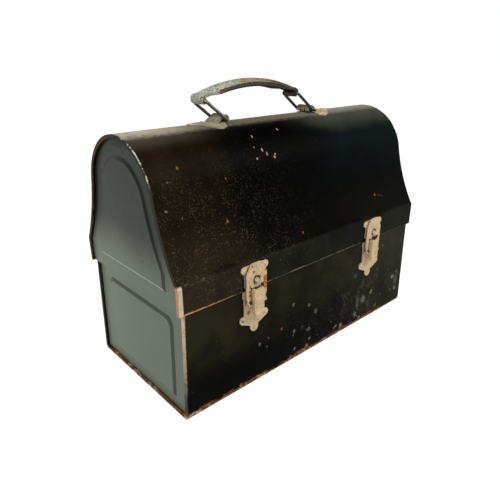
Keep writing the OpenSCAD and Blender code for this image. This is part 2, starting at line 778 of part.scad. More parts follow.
// Grip: crowned sheet with rolled edges, swept along an arch, ends rolled into eyes
// In both sections x is the distance from the arch centre and y is across
module grip_crown_section() {
  difference() {
    translate([arch_r - crown_r, 0]) circle(crown_r);
    translate([arch_r - crown_r, 0]) circle(crown_r - grip_t);
    translate([0, -crown_r]) square([arch_r - grip_crown, 2 * crown_r]);
  }
}
module grip_rolls() {
  r = grip_edge / 2;
  for (s = [-1, 1]) translate([arch_r - grip_crown - r + 0.4, s * (grip_w / 2 - r)])
    difference() {
      circle(r, $fn = 48);
      circle(r - 0.9, $fn = 48);
    }
}
// The rolled edges rise to the sheet before the ends, and go on as thin rolls
function arch_at(x, r) = [x, arch_z + sqrt(r * r - x * x)];
module rolls_cut() {
  a = arch_at(roll_x - 7, arch_r - grip_crown - grip_edge + 0.35);
  b = arch_at(link_x - 4.5, arch_r - grip_crown - 0.1);
  translate([grip_x, grip_w, 0]) rotate([90, 0, 0]) linear_extrude(2 * grip_w)
    polygon([a, [a[0], a[1] - 9], [b[0] + 9, a[1] - 9], [b[0] + 9, b[1]], b]);
}
module thin_roll() {
  a = asin((roll_x - 1) / arch_r);
  b = asin((link_x - 1.4) / arch_r);
  translate([grip_x, 0, arch_z]) rotate([-90, 0, 0]) rotate([0, 0, -90 + a])
    rotate_extrude(angle = b - a, $fn = fine) for (s = [-1, 1])
      translate([arch_r - grip_crown + 0.4, s * (tongue_w / 2 - 0.95)]) circle(0.9, $fn = 48);
}
module arch(a) {
  translate([grip_x, 0, arch_z]) rotate([-90, 0, 0]) rotate([0, 0, -90 - a])
    rotate_extrude(angle = 2 * a, $fn = fine) children();
}
// Plan of the grip: full width in the middle, narrower at its rolled ends
module grip_plan() {
  w = grip_w / 2 + 0.1;
  v = tongue_w / 2;
  translate([grip_x, 0, 0]) linear_extrude(big) polygon([
    [-roll_x + 2, -w], [roll_x - 2, -w], [roll_x + 4, -v], [link_x + 20, -v],
    [link_x + 20, v], [roll_x + 4, v], [roll_x - 2, w], [-roll_x + 2, w],
    [-roll_x - 4, v], [-link_x - 20, v], [-link_x - 20, -v], [-roll_x - 4, -v]]);
}
// Band round the nose at each end, barrel-shaped like the grip
module nose_band() {
  v = tongue_w / 2;
  r = v * v / 1.8 + 0.45;
  intersection() {
    difference() {
      translate([eye_r - r, 0]) circle(r);
      translate([eye_r - r, 0]) circle(r - grip_t);
    }
    translate([0.5, -v]) square([2 * eye_r, 2 * v]);
  }
}
module handle_grip() {
  color(dull) {
    difference() {
      intersection() {
        arch(asin((link_x + 0.4) / arch_r)) grip_crown_section();
        grip_plan();
      }
    }
    difference() {
      intersection() {
        arch(asin((link_x - 4.5) / arch_r)) grip_rolls();
        grip_plan();
      }
      rolls_cut();
      translate([2 * grip_x, 0, 0]) mirror([1, 0, 0]) rolls_cut();
    }
    thin_roll();
    translate([2 * grip_x, 0, 0]) mirror([1, 0, 0]) thin_roll();
    for (m = [0, 1]) translate([grip_x, 0, 0]) mirror([m, 0, 0]) difference() {
      union() {
        translate([nose_x, 0, nose_z]) rotate([90, 0, 0]) rotate([0, 0, -110])
          rotate_extrude(angle = 210) nose_band();
        translate([link_x, 0, grip_z]) rotate([90, 0, 0]) rotate([0, 0, -300])
          rotate_extrude(angle = 220) translate([pivot_r + 0.1, 0.2 - tongue_w / 2])
            square([grip_t - 0.1, tongue_w - 0.4]);
      }
      along_y(link_x, grip_z, tongue_w + 1, pivot_r);
    }
  }
}

// ---------- bottle bail ----------

module bail_brackets() {
  w = bail_foot_w / 2;
  x = bail_x + w + 2;
  color(dull) for (s = [-1, 1]) difference() {
    union() {
      translate([s * x - w, ly - sheet - bail_t, bail_pz - bail_foot_h])
        cube([2 * w, bail_t, bail_foot_h]);
      along_x(s * x - w, s * x + w, bail_py, bail_pz, bail_eye);
    }
    along_x(s * x - w - 1, s * x + w + 1, bail_py, bail_pz, bail_r + pin_gap);
  }
}
// Spring clip that the bail snaps behind
module bail_clip() {
  y = sheet - ly;
  z = bail_pz;
  color(dull) translate([-clip_w / 2, 0, 0]) rotate([90, 0, 90]) linear_extrude(clip_w) {
    translate([y, z - bail_foot_h]) square([bail_t, bail_foot_h + 0.6]);
    polygon([[y + 0.4, z - 2.9], [y + 0.4, z - 3.7], [y + 5.4, z - 2.9], [y + 6.2, z - 2.5],
      [y + 5.4, z - 1.7]]);
  }
}
module ball(p) { translate(p) sphere(bail_r, $fn = 48); }
module bottle_bail() {
  fy = bail_front;
  color(dull) {
    for (s = [0, 1]) mirror([s, 0, 0]) {
      along_x(bail_x, bail_x + bail_foot_w + 3, bail_py, bail_pz, bail_r);
      ball([bail_x, bail_py, bail_pz]);
      translate([bail_x, bail_py, bail_pz]) rotate([90, 0, 0])
        cylinder(h = bail_py - fy, r = bail_r);
      ball([bail_x, fy, bail_pz]);
    }
    along_x(-bail_x, bail_x, fy, bail_pz, bail_r);
  }
}

box_wrapper();
box_end_left();
box_end_right();
latch_plate_left();
latch_plate_right();
latch_plate_rivets();
lever_pins();
box_hinge_leaf_left();
box_hinge_leaf_right();
box_hinge_rivets();
hinge_pins();
lid_wrapper();
lid_end_left();
lid_end_right();
strike_plate_left();
strike_plate_right();
strike_rivets();
lid_hinge_leaf_left();
lid_hinge_leaf_right();
lid_hinge_rivets();
handle_bracket_left();
handle_bracket_right();
handle_bracket_rivets();
bail_brackets();
bail_clip();
latch_lever_left();
latch_lever_right();
loop_pin_left();
loop_pin_right();
latch_loop_left();
latch_loop_right();
handle_link_left();
handle_link_right();
handle_grip();
bottle_bail();
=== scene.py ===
import bpy, math
from mathutils import Vector, Matrix

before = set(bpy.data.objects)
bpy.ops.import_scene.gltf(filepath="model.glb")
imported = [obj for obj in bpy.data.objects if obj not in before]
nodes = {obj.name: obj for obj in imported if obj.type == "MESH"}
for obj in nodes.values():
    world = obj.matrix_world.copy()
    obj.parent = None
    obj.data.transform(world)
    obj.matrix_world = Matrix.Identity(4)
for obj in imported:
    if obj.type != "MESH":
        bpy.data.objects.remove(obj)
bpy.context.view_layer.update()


# ---------- places on the object, in metres ----------

# the lid: half its length, its lower edge, the top of its upright skirt, and the dome in the end view
LID_END = 0.1280
SEAM_Z = 0.0803
SKIRT_TOP = 0.0988
ARCH_Z = 0.1408
ARCH_R = 0.0415

# the box: half its length at the foot, how much that shortens with height, and the inside of its walls
BOX_END = 0.1266
BOX_TAPER = 0.0274
WALL_IN = 0.0585

# each latch from the middle, and the height of its stud
LATCH_X = 0.067
STUD_Z = 0.0878

# centre of the grip's arch, and its radius
GRIP_X = -0.01809
GRIP_Z = 0.08044
GRIP_R = 0.1306


# ---------- node helpers ----------

class Nodes:
    """Builds a node tree; a value is a number, a colour, a vector or another node's output"""

    def __init__(self, tree):
        self.tree = tree
        tree.nodes.clear()

    def add(self, kind, props=None, **values):
        node = self.tree.nodes.new(kind)
        for key, value in (props or {}).items():
            setattr(node, key, value)
        for key, value in values.items():
            self.put(node.inputs[key.replace("_", " ")], value)
        return node

    def put(self, socket, value):
        if isinstance(value, bpy.types.NodeSocket):
            self.tree.links.new(value, socket)
        elif isinstance(value, tuple) and len(value) == 3 and socket.type == "RGBA":
            socket.default_value = (*value, 1)
        else:
            socket.default_value = value

    def feed(self, node, *values):
        """Puts the values into the node's inputs in their order"""
        for socket, value in zip(node.inputs, values):
            self.put(socket, value)
        return node.outputs[0]

    def calc(self, op, *values):
        return self.feed(self.add("ShaderNodeMath", {"operation": op}), *values)

    def vector(self, op, *values):
        return self.feed(self.add("ShaderNodeVectorMath", {"operation": op}), *values)

    def times(self, result, *values):
        for value in values:
            result = self.calc("MULTIPLY", result, value)
        return result

    def plus(self, result, *values):
        for value in values:
            result = self.calc("ADD", result, value)
        return result

    def most(self, result, *values):
        for value in values:
            result = self.calc("MAXIMUM", result, value)
        return result

    def minus(self, a, b):
        return self.calc("SUBTRACT", a, b)

    def size(self, value):
        return self.calc("ABSOLUTE", value)

    def distance(self, a, b):
        """How far apart two points are that lie a and b apart along two axes"""
        return self.calc("SQRT", self.plus(self.times(a, a), self.times(b, b)))

    def between(self, share, a, b):
        """A number from a, where share is 0, to b, where it is 1"""
        return self.plus(a, self.times(share, b - a))

    def sway(self, pattern, amount=1.0):
        """A noise pattern centred on 0, over the amount from its lowest to its highest"""
        return self.times(self.minus(pattern, 0.5), amount)

    def step(self, value, start, stop, a=0.0, b=1.0):
        """A smooth change from a, where value is at start, to b, where it is at stop"""
        node = self.add("ShaderNodeMapRange", {"interpolation_type": "SMOOTHSTEP"})
        return self.feed(node, value, start, stop, a, b)

    def band(self, value, rise, fall):
        """1 between two values, with a smooth rise and fall"""
        return self.times(self.step(value, *rise), self.step(value, fall[1], fall[0]))

    def seen(self):
        """1 for what the camera sees, straight, mirrored or through glass"""
        path = self.add("ShaderNodeLightPath").outputs
        return self.most(path["Is Camera Ray"], path["Is Glossy Ray"], path["Is Transmission Ray"])

    def mix_shaders(self, share, a, b):
        return self.feed(self.add("ShaderNodeMixShader"), share, a, b)


class Look(Nodes):
    """One material, patterned in the object's own axes"""

    def __init__(self, name):
        self.mat = bpy.data.materials.new(name)
        self.mat.use_nodes = True
        super().__init__(self.mat.node_tree)
        self.at = self.add("ShaderNodeTexCoord").outputs["Object"]
        self.x, self.y, self.z = self.add("ShaderNodeSeparateXYZ", Vector=self.at).outputs
        self.colour = None
        self.front = None

    def noise(self, scale, detail=2.0, rough=0.5, stretch=None):
        place = self.at
        if stretch:
            place = self.add("ShaderNodeMapping", Vector=place, Scale=stretch).outputs[0]
        return self.add("ShaderNodeTexNoise", Vector=place, Scale=scale, Detail=detail,
                        Roughness=rough).outputs[0]

    def cells(self, scale, shift, share, size, soft, wobble):
        """Ragged spots in a share of the cells of a Voronoi pattern"""
        noise = self.add("ShaderNodeTexNoise", Vector=self.at, Scale=scale * 4, Detail=2.0)
        push = self.vector("SUBTRACT", noise.outputs["Color"], (0.5, 0.5, 0.5))
        place = self.vector("MULTIPLY_ADD", push, (wobble / scale,) * 3, self.at)
        place = self.add("ShaderNodeMapping", Vector=place, Location=shift).outputs[0]
        cell = self.add("ShaderNodeTexVoronoi", Vector=place, Scale=scale).outputs
        pick = self.add("ShaderNodeSeparateColor", Color=cell["Color"]).outputs
        chosen = self.calc("LESS_THAN", pick[0], share)
        radius = self.plus(self.times(pick[1], size), size * 0.35)
        return self.times(chosen, self.step(self.minus(radius, cell["Distance"]), 0.0, soft))

    def mix(self, share, a, b):
        """A colour from a, where share is 0, to b, where it is 1"""
        node = self.add("ShaderNodeMix", {"data_type": "RGBA"})
        self.put(node.inputs[0], share)
        self.put(node.inputs[6], a)
        self.put(node.inputs[7], b)
        return node.outputs[2]

    def lay(self, share, colour):
        """Lays a colour over what is there"""
        self.colour = self.mix(share, self.colour, colour)

    def facing(self):
        """The flat normal in the object's own axes"""
        normal = self.add("ShaderNodeNewGeometry").outputs["True Normal"]
        turned = self.add("ShaderNodeVectorTransform", {"vector_type": "NORMAL", "convert_from": "WORLD",
                                                        "convert_to": "OBJECT"}, Vector=normal)
        return self.add("ShaderNodeSeparateXYZ", Vector=turned.outputs[0]).outputs

    def outer_front(self):
        """1 on the outside of the front half, made once for each material"""
        if self.front is None:
            outward = self.calc("LESS_THAN", self.facing()[1], 0.1)
            self.front = self.times(self.calc("LESS_THAN", self.y, 0.0), outward)
        return self.front

    def crevice_shade(self, reach):
        """1 in a gap or a corner, for painted shade"""
        open_share = self.add("ShaderNodeAmbientOcclusion", {"samples": 12}, Distance=reach).outputs["AO"]
        return self.step(self.minus(1.0, open_share), 0.30, 0.65)

    def spot(self, x, z, radius, soft, rag, grain):
        """1 near a place on the front, in millimetres; ragged, and a little taller than it is wide"""
        across = self.calc("MULTIPLY_ADD", self.x, 1250.0, -1.25 * x)
        along = self.calc("MULTIPLY_ADD", self.z, 1000.0, -z)
        away = self.plus(self.distance(across, along), self.sway(grain, rag))
        return self.times(self.step(away, radius * (1 + soft), radius * (1 - soft)), self.outer_front())

    def bump(self, height, strength, distance):
        return self.add("ShaderNodeBump", Height=height, Strength=strength, Distance=distance).outputs[0]

    def finish(self, **values):
        shader = self.add("ShaderNodeBsdfPrincipled", Base_Color=self.colour, **values)
        self.add("ShaderNodeOutputMaterial", Surface=shader.outputs[0])
        return self.mat


# ---------- enamel ----------

BLACK = (0.0004, 0.0005, 0.0006)
HINGE_HAZE = (0.0080, 0.0080, 0.0060)
RUST = (0.34, 0.115, 0.035)
PINK = (0.55, 0.25, 0.15)

# the lid's low and crest colours are a painted sheen, and its top colours a painted highlight on worn paint
LID_PAINT = {
    "left": (0.0120, 0.0075, 0.0038), "right": (0.0012, 0.0045, 0.0054),
    "low sheen left": (0.0200, 0.0155, 0.0085), "low sheen right": (0.0170, 0.0170, 0.0110),
    "crest sheen left": (0.0560, 0.0500, 0.0350), "crest sheen right": (0.0420, 0.0440, 0.0350),
    "top highlight left": (0.130, 0.108, 0.066), "top highlight right": (0.165, 0.158, 0.128), "top highlight end": (0.340, 0.305, 0.240),
    "skirt": (0.0095, 0.0110, 0.0072), "skirt left": (0.0240, 0.0190, 0.0120),
    "rim": (0.030, 0.028, 0.023), "rim behind": (0.105, 0.052, 0.018), "rim bright": (0.42, 0.44, 0.39),
    "hem": (0.22, 0.19, 0.14), "corner": (0.58, 0.46, 0.34), "corner edge": (0.42, 0.215, 0.145)}

BOX_PAINT = {
    "left foot": (0.0020, 0.0020, 0.0008), "left top": (0.0255, 0.0210, 0.0125),
    "top": (0.0180, 0.0170, 0.0085),
    "right foot": (0.0125, 0.0125, 0.0075), "right top": (0.0240, 0.0240, 0.0165),
    "rim": (0.045, 0.033, 0.020), "rim pale": (0.60, 0.50, 0.36),
    "foot rust": (0.125, 0.052, 0.018), "foot pale": (0.46, 0.33, 0.20)}

DIRT = {
    "dust": (0.130, 0.100, 0.056), "dot": (0.24, 0.21, 0.15), "flake": (0.190, 0.185, 0.145),
    "smear": (0.085, 0.087, 0.066), "speck": (0.30, 0.25, 0.18)}

# the larger chips and dabs on the front: x, z and radius in millimetres, and what they show
CHIP_TONES = {
    "rust": (0.20, 0.070, 0.024), "pink": (0.33, 0.17, 0.11), "cream": (0.45, 0.27, 0.20),
    "grey": (0.105, 0.110, 0.085), "tan": (0.170, 0.130, 0.078)}
LID_CHIPS = [
    (-37, 174, 0.5, "cream"), (-41, 168, 0.5, "pink"), (-35, 165.5, 0.6, "cream"), (-32, 163, 0.8, "pink"),
    (-26, 160, 0.9, "pink"), (-25, 161.5, 0.6, "cream"), (-42, 161, 0.6, "cream"), (-106, 164, 1.0, "rust"),
    (-73, 153, 0.7, "rust"), (-78, 127, 1.0, "rust"), (-15, 106, 0.8, "rust"), (80, 115, 0.9, "rust"),
    (85, 114, 0.6, "rust"), (88, 113, 0.7, "rust"), (-108, 100, 0.7, "cream"), (-10, 176, 0.5, "cream")]
BOX_CHIPS = [
    (89, 68, 1.2, "rust"), (-38, 35, 1.1, "rust"), (-79, 4, 2.0, "rust"), (-75, 4, 1.1, "pink"),
    (-56, 3, 1.3, "cream"), (-28, 4, 1.8, "rust"), (-9, 6, 2.2, "tan"), (35, 7, 2.4, "tan"),
    (62, 5, 1.9, "tan"), (-26, 51, 1.4, "grey"), (-8, 44, 1.2, "grey"), (66, 22, 3.2, "grey"),
    (55, 11, 2.4, "grey"), (-24, 27, 1.5, "grey"), (-25, 23, 1.0, "grey"), (-6, 12, 1.4, "grey"),
    (-61, 31, 1.0, "grey"), (-54, 26, 0.9, "grey"), (-52, 33, 0.7, "grey"), (-23, 10, 1.3, "grey")]


class Enamel(Look):
    """Black enamel: hazy by region, then dusty and chipped, and worn at its edges"""

    def __init__(self, name):
        super().__init__(name)
        self.colour = BLACK
        self.wide = self.noise(14, 3, 0.6)
        self.cloud = self.noise(36, 4, 0.65)
        self.fine = self.noise(260, 4, 0.7)
        self.ragged = self.sway(self.noise(170, 4, 0.75))
        self.long_rag = self.sway(self.noise(26, 3, 0.6))
        self.drift = self.sway(self.wide, 0.06)
        self.hazy_x = self.plus(self.x, self.drift)
        self.hazy_z = self.plus(self.z, self.sway(self.cloud, 0.03))
        self.left = self.step(self.hazy_x, -0.045, -0.115)
        self.right = self.step(self.hazy_x, 0.005, 0.060)
        self.haze = self.step(self.cloud, 0.30, 0.70, 0.45, 1.0)
        # how dusty each place is, and where the paint has worn away
        self.dusty = 0.2
        self.worn = 0.0

    def tint_lid(self):
        """Brown haze on the left and blue on the right, a painted sheen low on the dome and along the crest,
        a painted highlight on worn paint along the top, and a greenish skirt
        """
        paint, left, right = LID_PAINT, self.left, self.right
        self.lay(self.times(left, self.haze), paint["left"])
        self.lay(self.times(right, self.haze, self.step(self.hazy_z, 0.125, 0.165)), paint["right"])
        above_skirt = self.step(self.hazy_z, SKIRT_TOP - 0.0003, SKIRT_TOP + 0.0027)
        # painted sheen low on the dome, strongest on the left
        low = self.times(self.step(self.hazy_z, 0.136, 0.108), above_skirt)
        strength = self.plus(self.times(left, 0.55), self.times(right, 0.12), 0.04)
        self.lay(self.times(low, strength, self.haze), self.mix(right, paint["low sheen left"], paint["low sheen right"]))
        # painted sheen along the crest
        upward = self.step(self.facing()[2], 0.0, 0.2)
        crest = self.step(self.plus(self.z, self.times(self.drift, 0.12)),
                          self.between(right, 0.1735, 0.1665), self.between(right, 0.1820, 0.1805))
        crest = self.times(crest, upward, self.plus(left, right), self.step(self.cloud, 0.3, 0.7, 0.7, 1.0))
        self.lay(crest, self.mix(right, paint["crest sheen left"], paint["crest sheen right"]))
        # painted highlight along the top, on worn paint, brightest at the left end
        top = self.step(self.plus(self.z, self.sway(self.fine, 0.002)), 0.1795, 0.1822)
        highlight_and_wear = self.mix(right, paint["top highlight left"], paint["top highlight right"])
        highlight_and_wear = self.mix(self.step(self.x, -0.055, -0.110), highlight_and_wear, paint["top highlight end"])
        self.lay(self.times(top, upward, self.step(self.fine, 0.25, 0.6, 0.7, 1.0)), highlight_and_wear)
        skirt = self.step(self.z, SKIRT_TOP + 0.0027, SKIRT_TOP + 0.0007)
        self.lay(self.times(skirt, self.haze), self.mix(left, paint["skirt"], paint["skirt left"]))
        self.dusty = self.times(self.step(self.hazy_x, 0.02, -0.09), self.step(self.z, 0.178, 0.135))

    def tint_box(self):
        """Paler under the seam and to the right; dustiest low on the right, and only outside"""
        paint = BOX_PAINT
        top = self.step(self.hazy_z, 0.020, 0.075)
        self.lay(self.times(self.left, self.haze), self.mix(top, paint["left foot"], paint["left top"]))
        self.lay(self.times(top, self.haze, 0.95), paint["top"])
        self.lay(self.times(self.step(self.hazy_x, 0.020, 0.095), self.haze),
                 self.mix(top, paint["right foot"], paint["right top"]))
        self.outside = self.most(self.step(self.size(self.y), WALL_IN + 0.0003, WALL_IN + 0.0005),
                                 self.step(self.z, 0.0005, 0.0002))
        self.dusty = self.times(self.step(self.hazy_x, -0.065, 0.045), self.step(self.z, 0.066, 0.020),
                                self.outside)

    def dust(self):
        """Fine tan dust, and dots where it has gathered"""
        grit = self.step(self.noise(900, 3, 0.7), 0.54, 0.70)
        patches = self.step(self.noise(75, 4, 0.7), 0.38, 0.62, 0.15, 1.0)
        self.dust_share = self.times(grit, self.plus(self.times(self.dusty, 0.90), 0.05), self.haze, patches)
        self.lay(self.dust_share, DIRT["dust"])
        self.dots = self.cells(190, (3.1, 0, 0), 0.10, 0.13, 0.06, 0.5)
        self.lay(self.times(self.dots, self.plus(self.times(self.dusty, 0.6), 0.10)), DIRT["dot"])

    def flakes(self):
        """Grey flakes and a smear on the outside of the box"""
        flakes = self.cells(120, (0, 5.3, 0), 0.40, 0.24, 0.08, 0.7)
        self.lay(self.times(flakes, self.dusty, self.step(self.cloud, 0.40, 0.55), 0.8), DIRT["flake"])
        streaks = self.step(self.noise(75, 4, 0.7, stretch=(1, 1, 0.6)), 0.57, 0.68)
        smear = self.times(streaks, self.step(self.x, -0.02, 0.07), self.step(self.z, 0.055, 0.012),
                           self.outside)
        self.lay(self.times(smear, 0.8), DIRT["smear"])

    def chips(self, places):
        """Scattered specks, and the chips and dabs that stand out on the front"""
        specks = self.cells(60, (0, 7.7, 0), 0.08, 0.05, 0.02, 0.5)
        self.lay(self.times(specks, 0.5), self.mix(self.noise(60), RUST, DIRT["speck"]))
        jagged = self.noise(430, 3, 0.75)
        for x, z, radius, tone in places:
            rag = 6.0 if tone in ("grey", "tan") else 3.0
            self.lay(self.spot(x, z, radius, 0.45, rag, jagged), CHIP_TONES[tone])

    def wear_lid(self):
        """The rims at both ends, the hem along the seam, and the bare front left corner"""
        paint, ragged = LID_PAINT, self.ragged
        end = self.size(self.x)
        rim = self.plus(end, self.times(ragged, 0.0016), self.times(self.long_rag, 0.0012))
        rim = self.step(rim, LID_END - 0.0008, LID_END - 0.0003)
        self.lay(rim, paint["rim"])
        behind = self.times(rim, self.step(self.y, 0.0, 0.02), self.step(self.x, 0.0, -0.01),
                            self.step(ragged, -0.06, 0.04))
        self.lay(self.times(behind, 0.7), paint["rim behind"])
        arch = self.distance(self.y, self.plus(self.z, -ARCH_Z))
        bright = self.times(rim, self.step(self.z, 0.153, 0.163), self.step(self.y, -0.006, -0.014),
                            self.step(arch, ARCH_R - 0.0008, ARCH_R - 0.0004))
        self.lay(self.times(bright, self.step(ragged, -0.06, 0.03)), paint["rim bright"])
        self.lay(self.times(rim, self.cells(120, (0, 0, 4.4), 0.35, 0.25, 0.05, 0.8), 0.8), PINK)
        hem = self.plus(self.z, self.times(ragged, 0.003), self.times(self.long_rag, 0.003))
        hem = self.step(hem, SEAM_Z + 0.0008, SEAM_Z + 0.0002)
        self.lay(self.times(hem, self.step(self.x, 0.11, -0.11, 0.22, 0.85)),
                 self.mix(self.step(self.x, -0.085, -0.105), paint["hem"], PINK))
        corner = self.times(self.step(self.x, 0.0037 - LID_END, 0.0028 - LID_END),
                            self.step(self.z, SKIRT_TOP + 0.0022, SKIRT_TOP + 0.0002),
                            self.step(self.y, -0.040, -0.056))
        edge = self.most(self.step(end, LID_END - 0.0004, LID_END), self.step(ragged, 0.09, 0.15))
        self.lay(corner, self.mix(edge, paint["corner"], paint["corner edge"]))
        self.worn = self.most(bright, hem, corner)

    def wear_box(self):
        """The folds at both ends, pale at the front left, and rust all round the foot"""
        paint, ragged = BOX_PAINT, self.ragged
        end = self.plus(self.size(self.x), self.times(self.z, BOX_TAPER))
        rim = self.step(self.plus(end, self.times(ragged, 0.0020)), BOX_END - 0.0012, BOX_END - 0.0005)
        self.lay(self.times(rim, 0.8), paint["rim"])
        pale = self.times(rim, self.step(self.plus(self.z, self.times(ragged, 0.10)), 0.0, 0.075, 0.02, 1.0),
                          self.step(self.x, 0.0, -0.05), self.step(self.y, 0.0, -0.03))
        self.lay(self.times(pale, 0.85), self.mix(self.step(ragged, 0.0, 0.12), paint["rim pale"], PINK))
        foot = self.plus(self.z, self.times(ragged, 0.009), self.times(self.long_rag, 0.016))
        perimeter = self.most(self.step(self.size(self.y), WALL_IN + 0.0001, WALL_IN + 0.0005),
                              self.step(end, BOX_END - 0.0021, BOX_END - 0.0011))
        foot = self.times(self.step(foot, 0.0046, 0.0026), perimeter)
        self.lay(self.times(foot, 0.9),
                 self.mix(self.step(ragged, -0.02, 0.10), paint["foot rust"], paint["foot pale"]))
        self.worn = self.most(pale, foot)

    def gloss(self):
        """The shader, duller where the enamel is dusty or worn"""
        rough = self.plus(0.34, self.times(self.step(self.fine, 0.3, 0.7), 0.12),
                          self.times(self.dust_share, 0.3), self.times(self.worn, 0.25))
        height = self.plus(self.times(self.fine, 0.5), self.times(self.wide, 3.0),
                           self.times(self.dots, -0.6), self.times(self.worn, -1.0))
        return self.finish(Roughness=rough, Specular_IOR_Level=0.012, Normal=self.bump(height, 0.25, 0.0006))


def lid_enamel(name):
    look = Enamel(name)
    look.tint_lid()
    look.dust()
    look.chips(LID_CHIPS)
    look.wear_lid()
    return look.gloss()


def box_enamel(name):
    look = Enamel(name)
    look.tint_box()
    look.dust()
    look.flakes()
    look.chips(BOX_CHIPS)
    look.wear_box()
    return look.gloss()


def hinge_enamel(name):
    look = Enamel(name)
    look.lay(look.haze, HINGE_HAZE)
    look.dust()
    look.chips([])
    return look.gloss()


# ---------- end panels ----------

PANEL_PAINT = {
    "high": (0.0100, 0.0165, 0.0095), "low": (0.1000, 0.1260, 0.0960), "low back": (0.1550, 0.1800, 0.1380),
    "cloud high": (0.017, 0.024, 0.014), "cloud low": (0.125, 0.142, 0.108),
    "slope high": (0.0040, 0.0045, 0.0035), "slope low": (0.028, 0.031, 0.024),
    "reflection_line": (0.42, 0.45, 0.40), "dot": (0.026, 0.024, 0.018), "gap": (0.0004, 0.0004, 0.0004)}


def panel_enamel(name):
    """Dark green-grey enamel, pale low down and towards the back with a painted reflection of the floor, dark
    up in the dome, and with painted shade on the pressed slopes
    """
    look = Look(name)
    paint = PANEL_PAINT
    wide = look.noise(18, 3, 0.6)
    fine = look.noise(300, 4, 0.7)
    nx, ny, nz = look.facing()
    # pale low down and towards the back: a painted reflection of the floor
    low = look.step(look.plus(look.z, look.sway(wide, 0.02)), 0.128, 0.086)
    back = look.step(look.y, -0.02, 0.05)
    look.colour = look.mix(low, paint["high"], paint["low"])
    look.lay(look.times(low, back, 0.5), paint["low back"])
    look.lay(look.times(look.step(wide, 0.35, 0.65), 0.25),
             look.mix(low, paint["cloud high"], paint["cloud low"]))
    # painted shade on the slopes of the pressed field, and a painted reflection of the floor in a bright line
    # along the lid's lowest one
    slope = look.band(look.size(nx), (0.5, 0.7), (0.96, 0.985))
    look.lay(look.times(slope, look.step(nz, -0.25, -0.10), 0.75),
             look.mix(low, paint["slope high"], paint["slope low"]))
    reflection_line = look.times(slope, look.step(nz, -0.15, -0.25),
                      look.band(look.z, (0.0915, 0.0918), (0.0925, 0.0928)))
    look.lay(look.times(reflection_line, look.step(fine, 0.38, 0.5), 0.85), paint["reflection_line"])
    look.lay(look.cells(110, (1.1, 0, 0), 0.05, 0.10, 0.05, 0.4), paint["dot"])
    # painted shade standing for the gap at the top of the arch
    gap = look.times(look.step(look.z, 0.1735, 0.1755),
                     look.band(look.y, (-0.0165, -0.0125), (0.006, 0.010)))
    look.lay(gap, paint["gap"])
    rough = look.plus(0.34, look.times(look.step(fine, 0.3, 0.7), 0.08))
    normal = look.bump(look.plus(look.times(fine, 0.3), look.times(wide, 4.0)), 0.2, 0.0006)
    return look.finish(Roughness=rough, Specular_IOR_Level=0.13, Normal=normal)


# ---------- latches ----------

LATCH_PAINT = {
    "plating": (0.60, 0.440, 0.260), "dull": (0.45, 0.350, 0.220), "dirt": (0.17, 0.115, 0.060),
    "bright": (0.84, 0.66, 0.42), "rust dot": (0.16, 0.065, 0.018), "rust": (0.27, 0.065, 0.006),
    "painted_shade": (0.016, 0.011, 0.006)}

# rust on the left latch: x, z and radius in millimetres
LATCH_RUST = [
    (-73.5, 80, 1.0), (-73.5, 77, 1.2), (-73, 83.5, 0.9), (-59.5, 87, 1.6), (-59.5, 85, 1.7),
    (-59, 82, 1.7), (-59, 79.5, 1.4), (-59, 92, 0.8), (-64, 89, 1.0), (-72.5, 62.5, 1.6), (-78, 58, 0.9),
    (-69.5, 93.5, 1.2), (-67, 89.5, 0.8), (-71, 98, 1.0), (-62, 100, 0.7)]


def latch_painted_shade(look, fine):
    """Painted shade: round the stud, under the window's edge, below the loop's left arm and in the gaps"""
    side = look.calc("SIGN", look.x)
    across = look.plus(look.minus(look.x, look.times(side, LATCH_X)), look.sway(fine, 0.001))
    away = look.distance(across, look.plus(look.z, -STUD_Z))
    ring = look.times(look.band(away, (0.0020, 0.0023), (0.0030, 0.0034)),
                      look.step(across, 0.0012, -0.0008))
    # the wedge reaches further left on the right latch
    start = look.between(look.step(side, -1.0, 1.0), 0.0032, -0.0025)
    wedge = look.times(look.band(look.z, (0.0792, 0.0797), (0.0834, 0.0840)),
                       look.step(across, 0.0069, 0.0065), look.step(look.minus(across, start), 0.0, 0.0007),
                       look.step(look.y, -0.0641, -0.0637))
    arm = look.times(look.band(across, (-0.0078, -0.0072), (-0.0048, -0.0042)),
                     look.band(look.z, (0.0700, 0.0706), (0.0725, 0.0731)))
    return look.most(look.times(ring, 0.85), look.times(wedge, 0.95), look.times(arm, 0.95),
                     look.times(look.crevice_shade(0.0016), 0.92))


def latch_metal(name):
    look = Look(name)
    paint = LATCH_PAINT
    wide = look.noise(110, 3, 0.6)
    fine = look.noise(700, 3, 0.6)
    look.colour = look.mix(look.step(wide, 0.3, 0.7), paint["plating"], paint["dull"])
    look.lay(look.times(look.step(fine, 0.48, 0.72), 0.6), paint["dirt"])
    look.lay(look.times(look.step(look.noise(320, 3, 0.7), 0.58, 0.70), 0.5), paint["bright"])
    dots = look.cells(230, (0, 0, 2.2), 0.12, 0.20, 0.1, 0.6)
    look.lay(look.times(dots, 0.85), paint["rust dot"])
    for x, z, radius in LATCH_RUST:
        look.lay(look.spot(x, z, radius, 0.5, 3.5, fine), paint["rust"])
    # painted shade round the stud, in the window, below the loop's left arm and in the gaps
    look.lay(latch_painted_shade(look, fine), paint["painted_shade"])
    rough = look.plus(0.42, look.times(fine, 0.2), look.times(dots, 0.2))
    normal = look.bump(look.plus(look.times(fine, 0.6), wide), 0.3, 0.0004)
    return look.finish(Roughness=rough, Metallic=0.2, Specular_IOR_Level=0.25, Normal=normal)


# ---------- handle ----------

